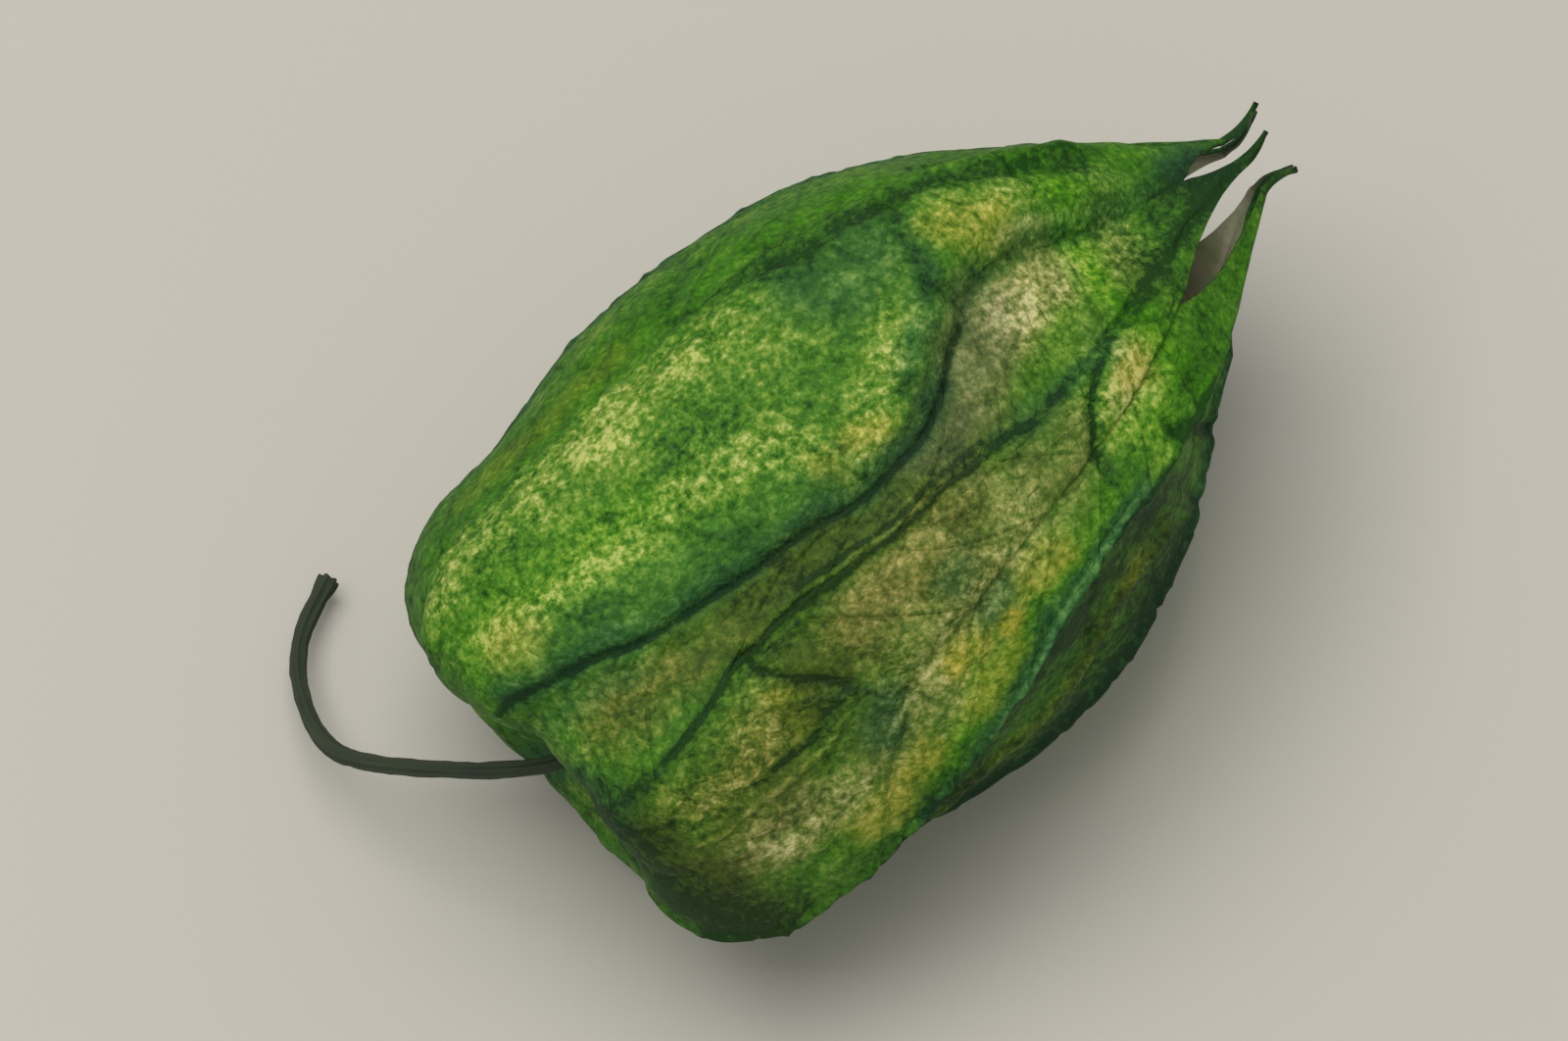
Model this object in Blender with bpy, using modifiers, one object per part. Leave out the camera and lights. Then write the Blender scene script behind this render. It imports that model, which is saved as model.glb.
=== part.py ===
"""A dried physalis, as picked: the papery husk lying on its side, the shrunken berry inside it and the curled stem.

The husk is five sepals grown into one lantern. Its long axis runs along +X, from the stem to the five teeth, and
rises a little towards them. +Z is up, and the origin is on the surface under the middle of the whole.
Run it in Blender 4.5, from the text editor or with blender --background --python part.py.
"""

import math

import bmesh
import bpy
from mathutils import Matrix, Vector, noise

MM = 0.001

# Driving dimensions in metres, and angles in degrees
HUSK_LENGTH = 52.5 * MM  # from the shoulders round the stem to the ends of the teeth
HUSK_RADIUS = 17.3 * MM  # at the widest ribs
HEIGHT_SHARE = 0.95  # the husk has sunk a little under its own weight
WALL = 0.7 * MM
TILT = 6.0  # how far the husk's axis rises towards the teeth
AXIS_HEIGHT = 12.9 * MM  # of the axis over the surface, at the shoulders
LEAN = 0.08  # the upper shoulders reach further back than the lower ones, by this share of their height
LEAN_REACH = 16.0 * MM  # how far from the shoulders that goes on
CENTRE = Vector((-23.3 * MM, -2.25 * MM, 0.0))  # of the husk's shoulders, with the whole centred on the origin

# The husk's outline from the stem's hole, over the shoulders, to the teeth: shares of its length and its radius
OUTLINE = (
    (0.065, 0.080), (0.000, 0.520), (0.062, 0.815), (0.210, 0.905), (0.385, 0.990),
    (0.550, 0.930), (0.695, 0.745), (0.815, 0.470), (0.965, 0.130),
)

SHOULDERS_TO = 0.30  # share of the outline where the shoulders have turned into the sides

# The ribs in turn round the husk, a sepal's midrib and then its seam with the next sepal. Each has its angle from
# the top of the husk at even steps of its length, how far it stands out of the outline, and its vein's height
RIBS = (
    ((-42, -37, -33, -33, -34, -42, -52), 0.3 * MM, 0.45 * MM),
    ((2, 14, 18, 16, -4, -1, -8), -1.2 * MM, 0.20 * MM),
    ((37, 30, 28, 29, 29, 22, 8), -0.5 * MM, 0.25 * MM),
    ((68, 60, 51, 45, 44, 40, 38), -0.2 * MM, 0.12 * MM),
    ((99, 89, 73, 60, 59, 64, 72), 0.8 * MM, 0.40 * MM),
    ((130, 118, 108, 105, 106, 110, 120), -0.6 * MM, 0.30 * MM),
    ((168, 162, 157, 155, 155, 158, 163), 0.3 * MM, 0.40 * MM),
    ((205, 204, 203, 204, 204, 202, 204), 0.0 * MM, 0.30 * MM),
    ((240, 242, 244, 244, 242, 240, 243), 0.5 * MM, 0.45 * MM),
    ((282, 286, 289, 290, 288, 283, 275), 0.1 * MM, 0.30 * MM),
)
# How far each rib's panel, up to the next rib, stands out past a straight line between the two
BULGES = tuple(
    bulge * MM for bulge in (2.2, 0.0, 0.7, 0.4, -0.1, 0.5, 0.5, 0.9, 1.0, 0.6)
)
VEIN_HALF_WIDTH = 0.9 * MM

# The net: side veins that leave each midrib and climb towards the seams
SIDE_VEINS = 10
SIDE_VEIN_CLIMB = 0.10  # share of the outline that one climbs on its way to the seam
SIDE_VEIN_HEIGHT = 0.32 * MM
CRUMPLE = ((0.45 * MM, 9.0 * MM), (0.16 * MM, 3.6 * MM))  # the depth and the size of the skin's dents

# The teeth, in the order of the midribs: each awn's length, and how far it curls out and to the side
TEETH_FROM = 0.859  # share of the outline where the first seam parts
AWNS = (
    (3.0 * MM, 0.8 * MM, -0.4 * MM),
    (2.2 * MM, 0.4 * MM, -0.4 * MM),
    (2.2 * MM, 0.5 * MM, 0.4 * MM),
    (2.4 * MM, 0.4 * MM, -0.7 * MM),
    (2.9 * MM, 0.9 * MM, 0.5 * MM),
)
SEAM_OPENS = (3, 0, 1, 1, 2)  # the row of the teeth at which each seam parts
AWN_HALF_WIDTH = 0.36 * MM
TOOTH_TAPER = 1.4

# The sheet's rows along the husk and its columns from one rib to the next
ROWS_A_VEIN = 3
COLUMNS = 7
RIB_EDGE = 0.75 * MM  # how far the nearest columns stay from a rib, so that the wall can turn round it
TOOTH_ROWS = 5
TOOTH_COLUMNS = (0, 2, 5, 7, 9, 12, 14)  # the columns of a whole sepal that go on up its tooth
NARROW_ROWS = 2  # the last rows of a tooth, which like its awn have only their edges and their middle
NARROW_COLUMNS = (0, 3, 6)  # of a tooth's columns
AWN_ROWS = 4

# The stem, with its end widened into the receptacle that carries the berry, in the husk's own directions
STEM_RADIUS = 0.45 * MM
STEM_PATH = (
    (4.9, 0.0, 0.0), (3.2, 0.0, 0.0), (0.6, 0.5, -0.2), (-2.6, 3.4, -1.3), (-6.2, 8.9, -4.6),
    (-7.3, 12.4, -7.0), (-6.4, 16.4, -9.0), (-4.2, 19.6, -10.4), (-0.6, 21.6, -11.2),
)
RECEPTACLE_RADIUS = 1.15 * MM
RECEPTACLE_LENGTH = 2.6 * MM
STEM_STEP = 0.9 * MM

BERRY_RADIUS = 6.2 * MM
BERRY_LENGTH_SHARE = 0.92
BERRY_GAP = 0.35 * MM
BERRY_WRINKLES = ((0.30 * MM, 3.2 * MM), (0.12 * MM, 1.3 * MM))


def clear_scene():
    for thing in list(bpy.data.objects):
        bpy.data.objects.remove(thing, do_unlink=True)


def material(name, colour, roughness):
    """A plain finish of one colour, without metal."""
    finish = bpy.data.materials.new(name)
    finish.use_nodes = True
    shader = finish.node_tree.nodes["Principled BSDF"]
    shader.inputs["Base Color"].default_value = (*colour, 1.0)
    shader.inputs["Roughness"].default_value = roughness
    shader.inputs["Metallic"].default_value = 0.0
    return finish


def smooth(values, share):
    """A smooth curve through evenly spaced numbers or vectors, at a share from 0 to 1 of its run."""
    place = min(max(share, 0.0), 1.0) * (len(values) - 1)
    k = min(int(place), len(values) - 2)
    t = place - k
    before, here, there = values[max(k - 1, 0)], values[k], values[k + 1]
    after = values[min(k + 2, len(values) - 1)]
    slope = there - before
    bend = 2 * before - 5 * here + 4 * there - after
    twist = 3 * here - before - 3 * there + after
    return here + (slope * t + bend * t * t + twist * t * t * t) * 0.5


def dents(point, layers):
    """The sum of smooth noise in layers, each with its depth and its size."""
    return sum(depth * noise.noise(point / size) for depth, size in layers)


def outline(share):
    """The outline's distance from the shoulders along the axis, and its radius."""
    points = [Vector((x * HUSK_LENGTH, r * HUSK_RADIUS)) for x, r in OUTLINE]
    return smooth(points, share)


def outward(share):
    """The direction out of the outline: its parts along the axis and along the radius."""
    step = 0.004
    run = outline(share + step) - outline(share - step)
    return Vector((-run.y, run.x)).normalized()


def relief_share(share):
    """How much of the relief there is: less over the shoulders, and less where the husk narrows to its teeth."""
    over_shoulders = min(1.0, 0.35 + share / SHOULDERS_TO)
    return over_shoulders * min(1.0, outline(share).y / (0.5 * HUSK_RADIUS))


def rib_point(rib, share):
    """Where a rib runs, without its vein: the lantern's corner at this share of the outline."""
    angles, level, _ = RIBS[rib % len(RIBS)]
    along, radius = outline(share)
    out = outward(share) * level * relief_share(share) ** 2
    angle = math.radians(smooth(angles, along / HUSK_LENGTH))
    radius += out.y
    return Vector((along + out.x, -radius * math.sin(angle), HEIGHT_SHARE * radius * math.cos(angle)))


def ridge(distance, half_width):
    """A rounded ridge of height 1, by the distance from its line."""
    return max(0.0, 1 - (distance / half_width) ** 2) ** 2


def sheet_point(share, panel, across, side_vein=0.0):
    """A point of the husk's outer face, from one rib at across 0 to the next rib at across 1."""
    start, end = rib_point(panel, share), rib_point(panel + 1, share)
    point = start.lerp(end, across)
    width = (end - start).length
    fade = relief_share(share)
    height = BULGES[panel] * (1 - (2 * across - 1) ** 4) * fade ** 3
    height += RIBS[panel][2] * fade ** 2 * ridge(across * width, VEIN_HALF_WIDTH)
    height += RIBS[(panel + 1) % len(RIBS)][2] * fade ** 2 * ridge((1 - across) * width, VEIN_HALF_WIDTH)
    height += SIDE_VEIN_HEIGHT * side_vein * fade
    height += dents(point, CRUMPLE) * fade
    out = outward(share)
    radial = Vector((0.0, point.y, point.z)).normalized()
    return point + height * (out.x * Vector((1.0, 0.0, 0.0)) + out.y * radial)


def columns_across(panel, share):
    """Where a panel's columns are: one on its first rib, one close to each rib, and the rest spread between."""
    width = (rib_point(panel + 1, share) - rib_point(panel, share)).length
    edge = min(0.3, max(0.06, RIB_EDGE / width))
    return [0.0] + [edge + (1 - 2 * edge) * k / (COLUMNS - 2) for k in range(COLUMNS - 1)]


def from_midrib(panel, across):
    """How far across its half of the sepal a point is, from 0 at the midrib to 1 at the seam."""
    return across if panel % 2 == 0 else 1 - across


def body_row(row, rows):
    """The points of one row round the lantern. A row climbs from each midrib to the seams, as the side veins do."""
    up = row / rows
    on_vein = 1.0 if row % ROWS_A_VEIN == 0 else 0.0
    points = []
    for panel in range(len(RIBS)):
        for across in columns_across(panel, TEETH_FROM * up):
            climb = SIDE_VEIN_CLIMB * from_midrib(panel, across) * 4 * up * (1 - up)
            points.append(sheet_point(TEETH_FROM * up + climb, panel, across, on_vein * 4 * up * (1 - up)))
    return points


def tooth_share(row):
    return TEETH_FROM + (1 - TEETH_FROM) * row / TOOTH_ROWS


def tooth_side(midrib, seam, row, opens):
    """How much of a half sepal is left in its tooth, as a share of the way from the midrib to the seam."""
    if row <= opens:
        return 1.0
    whole = (rib_point(seam, tooth_share(row)) - rib_point(midrib, tooth_share(row))).length
    left = ((TOOTH_ROWS - row) / (TOOTH_ROWS - opens)) ** TOOTH_TAPER
    return (AWN_HALF_WIDTH + (whole - AWN_HALF_WIDTH) * left) / whole


def tooth_row(tooth, row):
    """The points of one row of a tooth, from its seam with the tooth before to its seam with the next."""
    midrib = 2 * tooth
    share = tooth_share(row)
    before = tooth_side(midrib, midrib - 1, row, SEAM_OPENS[tooth - 1])
    after = tooth_side(midrib, midrib + 1, row, SEAM_OPENS[tooth])
    panel = (midrib - 1) % len(RIBS)
    left = [*columns_across(panel, share), 1.0]
    right = [*columns_across(midrib, share), 1.0]
    points = []
    for column in TOOTH_COLUMNS:
        if column < COLUMNS:
            points.append(sheet_point(share, panel, 1 - before * (1 - left[column])))
        else:
            points.append(sheet_point(share, midrib, after * right[column - COLUMNS]))
    return points


def awn_row(tooth, row):
    """The points of one row of the awn: its left edge, its middle and its right edge."""
    length, curl_out, curl_aside = AWNS[tooth]
    done = row / AWN_ROWS
    root = sheet_point(1.0, 2 * tooth, 0.0)
    closing_in = (root - sheet_point(0.96, 2 * tooth, 0.0)).normalized()
    run = (closing_in + Vector((2.0, 0.0, 0.0))).normalized()
    radial = Vector((0.0, root.y, root.z)).normalized()
    aside = run.cross(radial).normalized()
    middle = root + run * length * done + (radial * curl_out + aside * curl_aside) * done * done
    half = aside * AWN_HALF_WIDTH * (1 - 0.2 * done)
    return [middle - half, middle, middle + half]


def bridge(mesh, lower, upper, columns):
    """Faces between two rows, where only some of the lower row's columns go on in the upper one."""
    for k, (left, right) in enumerate(zip(columns, columns[1:])):
        mesh.faces.new((*lower[left:right + 1], upper[k + 1], upper[k]))


def place(point):
    """From the husk's own directions to the object's."""
    turn = Matrix.Rotation(-math.radians(TILT), 3, "Y")
    return turn @ Vector(point) + CENTRE + Vector((0.0, 0.0, AXIS_HEIGHT))


def lay_down(point):
    """Leant, placed, and flattened where the husk rests on the surface."""
    lean = LEAN * point.z * max(0.0, 1 - point.x / LEAN_REACH)
    placed = place(point - Vector((lean, 0.0, 0.0)))
    placed.z = max(placed.z, 0.0)
    return placed


def husk_sheet():
    """The husk's outer face, an open sheet: the rows of the lantern, then the five teeth and their awns."""
    mesh = bmesh.new()
    rows = SIDE_VEINS * ROWS_A_VEIN
    body = [[mesh.verts.new(lay_down(p)) for p in body_row(row, rows)] for row in range(rows + 1)]
    for lower, upper in zip(body, body[1:]):
        bridge(mesh, [*lower, lower[0]], [*upper, upper[0]], range(len(lower) + 1))

    seams = {}
    for tooth in range(len(AWNS)):
        first = (2 * tooth - 1) * COLUMNS
        lower = [body[-1][(first + k) % len(body[-1])] for k in range(2 * COLUMNS + 1)]
        columns = TOOTH_COLUMNS
        for row in range(1, TOOTH_ROWS + 1):
            points = tooth_row(tooth, row)
            if row > TOOTH_ROWS - NARROW_ROWS:
                points = [points[k] for k in NARROW_COLUMNS]
                columns = NARROW_COLUMNS if row == TOOTH_ROWS - NARROW_ROWS + 1 else columns
            upper = [mesh.verts.new(lay_down(p)) for p in points[1:-1]]
            for seam, end in (((tooth - 1) % len(AWNS), 0), (tooth, -1)):
                joined = row <= SEAM_OPENS[seam]
                vert = seams.get((seam, row)) if joined else None
                if vert is None:
                    vert = mesh.verts.new(lay_down(points[end]))
                if joined:
                    seams[seam, row] = vert
                upper.insert(0 if end == 0 else len(upper), vert)
            bridge(mesh, lower, upper, columns)
            lower, columns = upper, range(len(upper))
        for row in range(1, AWN_ROWS + 1):
            upper = [mesh.verts.new(lay_down(p)) for p in awn_row(tooth, row)]
            bridge(mesh, lower, upper, columns)
            lower = upper

    # Split alike on both faces, so that the wall keeps its thickness
    bmesh.ops.triangulate(mesh, faces=mesh.faces[:], quad_method="SHORT_EDGE")
    return mesh


def add_object(name, mesh, collection, finish):
    """An object of a bmesh, smooth but for its sharp folds."""
    data = bpy.data.meshes.new(name)
    mesh.to_mesh(data)
    mesh.free()
    data.materials.append(finish)
    data.shade_smooth()
    data.set_sharp_from_angle(angle=math.radians(50))
    thing = bpy.data.objects.new(name, data)
    collection.objects.link(thing)
    return thing


def make_husk(collection):
    husk = add_object("husk", husk_sheet(), collection, material("husk_paper", (0.14, 0.24, 0.055), 0.75))
    wall = husk.modifiers.new("wall", "SOLIDIFY")
    wall.thickness = WALL
    wall.offset = -1.0
    return husk


def make_stem(collection):
    """The stem is a tube along a smooth curve, and widens into the receptacle inside the husk."""
    path = [Vector(point) * MM for point in STEM_PATH]
    length = sum((b - a).length for a, b in zip(path, path[1:]))
    count = round(length / STEM_STEP)
    curve = bpy.data.curves.new("stem", "CURVE")
    curve.dimensions = "3D"
    curve.bevel_depth = STEM_RADIUS
    curve.bevel_resolution = 2
    curve.use_fill_caps = True
    spline = curve.splines.new("POLY")
    spline.points.add(count)
    travelled = 0.0
    last = path[0]
    for k, point in enumerate(spline.points):
        here = smooth(path, k / count)
        travelled += (here - last).length
        last = here
        flare = max(0.0, 1 - travelled / RECEPTACLE_LENGTH) ** 0.8
        point.co = (*place(here), 1.0)
        point.radius = 1 + (RECEPTACLE_RADIUS / STEM_RADIUS - 1) * flare
    curve.materials.append(material("stem_bark", (0.012, 0.030, 0.014), 0.7))
    stem = bpy.data.objects.new("stem", curve)
    collection.objects.link(stem)
    return stem


def make_berry(collection):
    """The berry sits on the receptacle. Drying has wrinkled its skin and drawn it in at both ends."""
    mesh = bmesh.new()
    bmesh.ops.create_uvsphere(mesh, u_segments=36, v_segments=22, radius=BERRY_RADIUS)
    seat = STEM_PATH[0][0] * MM + BERRY_GAP
    middle = seat + BERRY_RADIUS * BERRY_LENGTH_SHARE
    for vert in mesh.verts:
        out = vert.co.normalized()
        drawn_in = 0.10 * BERRY_RADIUS * abs(out.z) ** 12
        shrunk = BERRY_RADIUS - drawn_in + dents(vert.co, BERRY_WRINKLES)
        around, up = out * shrunk, out.z * shrunk * BERRY_LENGTH_SHARE
        vert.co = place((middle - up, around.y, around.x))
    return add_object("berry", mesh, collection, material("berry_skin", (0.10, 0.065, 0.02), 0.45))


def main():
    clear_scene()
    collection = bpy.data.collections.new("physalis_berry")
    bpy.context.scene.collection.children.link(collection)
    make_husk(collection)
    make_stem(collection)
    make_berry(collection)


main()
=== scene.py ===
import math

import bmesh
import bpy
import numpy as np
from mathutils import Matrix, Vector, noise


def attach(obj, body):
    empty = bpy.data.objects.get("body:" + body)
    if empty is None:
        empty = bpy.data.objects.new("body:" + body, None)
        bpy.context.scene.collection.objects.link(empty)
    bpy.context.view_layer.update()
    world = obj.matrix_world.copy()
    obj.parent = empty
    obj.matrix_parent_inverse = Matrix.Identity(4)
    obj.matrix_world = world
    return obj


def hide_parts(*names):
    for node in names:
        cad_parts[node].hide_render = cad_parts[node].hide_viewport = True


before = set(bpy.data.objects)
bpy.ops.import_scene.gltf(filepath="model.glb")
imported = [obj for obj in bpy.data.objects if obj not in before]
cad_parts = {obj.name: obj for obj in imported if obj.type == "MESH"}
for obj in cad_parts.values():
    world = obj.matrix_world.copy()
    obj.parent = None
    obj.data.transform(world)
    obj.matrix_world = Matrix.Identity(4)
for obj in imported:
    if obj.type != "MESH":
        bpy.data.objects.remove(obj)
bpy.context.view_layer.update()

# The husk is five papery sepals grown into one lantern, dried and dyed green. Each has a raised midrib and
# meets the next at a sunken seam, and side veins climb from the midribs to the seams. The sheet is worked out
# panel by panel along the husk's outline, parts into five teeth with thin awns, and gets its thickness last.
MM = 0.001
HUSK_LENGTH = 52.5 * MM
HUSK_RADIUS = 17.3 * MM
HEIGHT_SHARE = 0.95  # the husk has sunk a little under its own weight
PAPER = 0.28 * MM
TILT = 6.0  # how far the husk's axis rises towards the teeth, in degrees
AXIS_HEIGHT = 12.9 * MM
LEAN = 0.08  # the upper shoulders reach further back, by this share of their height
LEAN_REACH = 16.0 * MM
SHOULDERS = Vector((-23.3 * MM, -2.25 * MM, AXIS_HEIGHT))
HUSK_TURN = Matrix.Rotation(-math.radians(TILT), 3, "Y")
# From the stem's hole, over the shoulders, to the teeth: shares of the length and the radius
OUTLINE = np.array((
    (0.065, 0.080), (0.000, 0.520), (0.062, 0.815), (0.210, 0.905), (0.385, 0.990),
    (0.550, 0.930), (0.695, 0.745), (0.815, 0.470), (0.965, 0.130),
)) * (HUSK_LENGTH, HUSK_RADIUS)
SHOULDERS_TO = 0.30
# A midrib and then its seam with the next sepal, in turn round the husk: the angle from the top at even steps
# of the length, in degrees, then how far it stands out of the outline, its vein's height, its panel's bulge
RIBS = (
    ((-42, -37, -33, -33, -34, -42, -52), 0.3 * MM, 0.45 * MM, 2.2 * MM),
    ((2, 14, 18, 16, -4, -1, -8), -1.2 * MM, 0.20 * MM, 0.0 * MM),
    ((37, 30, 28, 29, 29, 22, 8), -0.5 * MM, 0.25 * MM, 0.7 * MM),
    ((68, 60, 51, 45, 44, 40, 38), -0.2 * MM, 0.12 * MM, 0.4 * MM),
    ((99, 89, 73, 60, 59, 64, 72), 0.8 * MM, 0.40 * MM, -0.1 * MM),
    ((130, 118, 108, 105, 106, 110, 120), -0.6 * MM, 0.30 * MM, 0.5 * MM),
    ((168, 162, 157, 155, 155, 158, 163), 0.3 * MM, 0.40 * MM, 0.5 * MM),
    ((205, 204, 203, 204, 204, 202, 204), 0.0 * MM, 0.30 * MM, 0.9 * MM),
    ((240, 242, 244, 244, 242, 240, 243), 0.5 * MM, 0.45 * MM, 1.0 * MM),
    ((282, 286, 289, 290, 288, 283, 275), 0.1 * MM, 0.30 * MM, 0.6 * MM),
)
RIB_ANGLES = np.radians([rib[0] for rib in RIBS]).T
RIB_LEVELS, VEIN_HEIGHTS, BULGES = (np.array([rib[k] for rib in RIBS]) for k in (1, 2, 3))
VEIN_HALF_WIDTH = 0.7 * MM
SIDE_VEINS = 10  # in half a sepal
SIDE_VEIN_CLIMB = 0.10
SIDE_VEIN_HEIGHT = 0.20 * MM
SIDE_VEIN_HALF_WIDTH = 0.55 * MM
SIDE_VEIN_WANDER = 0.30  # share of the way to the next side vein
TEETH_FROM = 0.859
OUTLINE_RUN = 62 * MM  # along the outline, from the stem's hole to the teeth's ends
SIDE_VEIN_SPACING = TEETH_FROM * OUTLINE_RUN / SIDE_VEINS
QUILT = 0.12 * MM  # how far the skin puffs out between two side veins
CRUMPLE = ((0.45 * MM, 9.0 * MM), (0.16 * MM, 3.6 * MM), (0.07 * MM, 1.5 * MM), (0.03 * MM, 0.7 * MM))
CREASES = ((0.22 * MM, 7.0 * MM, 0.07), (0.12 * MM, 3.0 * MM, 0.09))  # depth, spacing and sharpness
CREASE_DYE_AND_SHADE = 0.35  # how dark the deepest of these creases is painted: dye gathered there and painted crease shade
AWNS = (  # length, curl out and curl aside
    (3.0 * MM, 0.8 * MM, -0.4 * MM), (2.2 * MM, 0.4 * MM, -0.4 * MM), (2.2 * MM, 0.5 * MM, 0.4 * MM),
    (2.4 * MM, 0.4 * MM, -0.7 * MM), (2.9 * MM, 0.9 * MM, 0.5 * MM),
)
# Courses on the husk: round it in panels, and along it in shares of the outline
LOBE_EDGE = (
    (0.95, 0.261), (0.95, 0.332), (0.94, 0.388), (0.96, 0.435), (0.98, 0.470), (0.99, 0.504), (1.01, 0.558),
    (1.02, 0.596), (1.05, 0.630), (1.04, 0.670),
)
LOBE_EDGE_END = ((1.00, 0.704), (0.97, 0.737), (0.99, 0.791), (0.97, 0.843), (0.92, 0.900), (0.92, 0.941))
MIDDLE_FOLD = (
    (2.02, 0.657), (1.92, 0.625), (1.85, 0.597), (1.81, 0.567), (1.90, 0.529), (1.89, 0.464), (1.76, 0.429),
    (1.77, 0.395), (1.83, 0.368), (1.92, 0.346), (2.00, 0.315),
)
LOOP_TOP = ((1.86, 0.372), (2.03, 0.372), (2.28, 0.394), (2.50, 0.410), (2.67, 0.418))
LOOP_RIDGE = (
    (2.69, 0.414), (2.75, 0.394), (2.80, 0.378), (2.77, 0.354), (2.72, 0.318), (2.67, 0.281), (2.61, 0.244),
)
# Folds in the dried sheet: depth (a ridge where negative), half width, how dark the fold is painted, and the
# course. The darkness is partly dye gathered in the fold and partly painted crease shade.
FOLDS = (
    (0.50 * MM, 1.1 * MM, 0.6, ((0.03, 0.564), (0.15, 0.597), (0.19, 0.634), (0.21, 0.691), (0.33, 0.745),
                                (0.44, 0.794), (0.44, 0.871))),
    (0.35 * MM, 0.9 * MM, 0.5, ((0.21, 0.691), (0.44, 0.675), (0.61, 0.668), (0.77, 0.661), (0.95, 0.680))),
    (0.20 * MM, 1.0 * MM, 0.2, ((0.44, 0.232), (0.53, 0.285), (0.50, 0.331), (0.49, 0.398), (0.44, 0.445),
                                (0.48, 0.479), (0.50, 0.552))),
    (0.30 * MM, 0.50 * MM, 0.3, ((0.84, 0.170), (0.90, 0.205), *LOBE_EDGE)),
    (0.12 * MM, 0.60 * MM, 0.3, (LOBE_EDGE[-1], *LOBE_EDGE_END)),
    (0.28 * MM, 0.45 * MM, 0.5, ((2.20, 0.960), (2.18, 0.90), (2.11, 0.859), (2.05, 0.803), (2.00, 0.762),
                                 (2.00, 0.722), *MIDDLE_FOLD, (2.00, 0.269), (2.00, 0.206))),
    (0.25 * MM, 0.42 * MM, 0.5, LOOP_TOP),
    (-0.28 * MM, 0.5 * MM, 0.0, LOOP_RIDGE),
    (0.30 * MM, 0.6 * MM, 0.6, ((2.28, 0.844), (2.11, 0.799), (2.05, 0.769), (2.15, 0.741), (2.50, 0.704),
                                (2.85, 0.687), (3.39, 0.673))),
    (0.30 * MM, 0.8 * MM, 0.6, ((3.72, 0.742), (4.20, 0.775), (4.61, 0.808), (5.00, 0.827))),
    (-0.45 * MM, 1.1 * MM, 0.0, ((4.56, 0.700), (4.56, 0.679), (4.50, 0.617), (4.61, 0.585), (4.66, 0.541),
                                 (4.56, 0.479), (4.50, 0.42))),
    (0.22 * MM, 0.6 * MM, 0.5, ((5.7, 0.30), (5.9, 0.37), (6.2, 0.41), (6.5, 0.40))),
    (0.25 * MM, 0.7 * MM, 0.5, ((6.6, 0.66), (6.4, 0.60), (6.45, 0.53), (6.3, 0.47))),
    (0.30 * MM, 0.7 * MM, 0.5, ((8.3, 0.28), (8.45, 0.36), (8.4, 0.44), (8.6, 0.52), (8.5, 0.58))),
    (-0.30 * MM, 0.9 * MM, 0.0, ((8.65, 0.30), (8.7, 0.38), (8.65, 0.46), (8.8, 0.54))),
    (0.25 * MM, 0.6 * MM, 0.5, ((7.3, 0.62), (7.45, 0.55), (7.4, 0.46), (7.6, 0.38))),
)
# Sharp creases and the shaded sides of ridges, painted as thin dark lines: painted shade, with some dye
# gathered in the creases
LINES = (
    ((0.82, 0.160), (0.88, 0.195), *LOBE_EDGE),
    (*MIDDLE_FOLD, (2.00, 0.280)),
    ((1.74, 0.610), (1.66, 0.575), (1.70, 0.520), (1.66, 0.470), (1.50, 0.430)),
    LOOP_TOP,
    # Painted shadow beside the loop's raised ridge
    ((2.62, 0.400), (2.68, 0.378), (2.64, 0.352), (2.59, 0.318), (2.54, 0.281), (2.48, 0.250)),
    ((2.05, 0.769), (2.15, 0.741), (2.50, 0.704), (2.85, 0.687)),
    # Painted shadow just past the crest of the third midrib, on the side face
    ((3.95, 0.817), (3.92, 0.742), (3.96, 0.691), (4.03, 0.631), (4.02, 0.582), (4.04, 0.550), (4.10, 0.515),
     (4.14, 0.475), (4.18, 0.447), (4.15, 0.400), (4.15, 0.34)),
    ((3.76, 0.742), (4.20, 0.775), (4.61, 0.808), (5.00, 0.827)),
)
# Painted highlights: thin pale lines along the crests of raised veins and ridges
HIGHLIGHT_LINES = (
    LOOP_RIDGE,
    ((1.86, 0.610), (1.76, 0.575), (1.80, 0.520), (1.78, 0.470), (1.64, 0.430)),
    ((3.05, 0.480), (3.10, 0.440), (3.30, 0.390), (3.45, 0.330)),
    ((3.80, 0.742), (3.83, 0.691), (3.91, 0.631), (3.89, 0.582), (3.91, 0.550), (3.97, 0.515), (4.00, 0.475),
     (4.04, 0.447), (4.01, 0.400)),
    ((0.95, 0.715), (0.90, 0.760), (0.92, 0.800), (0.90, 0.850)),
)
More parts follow.
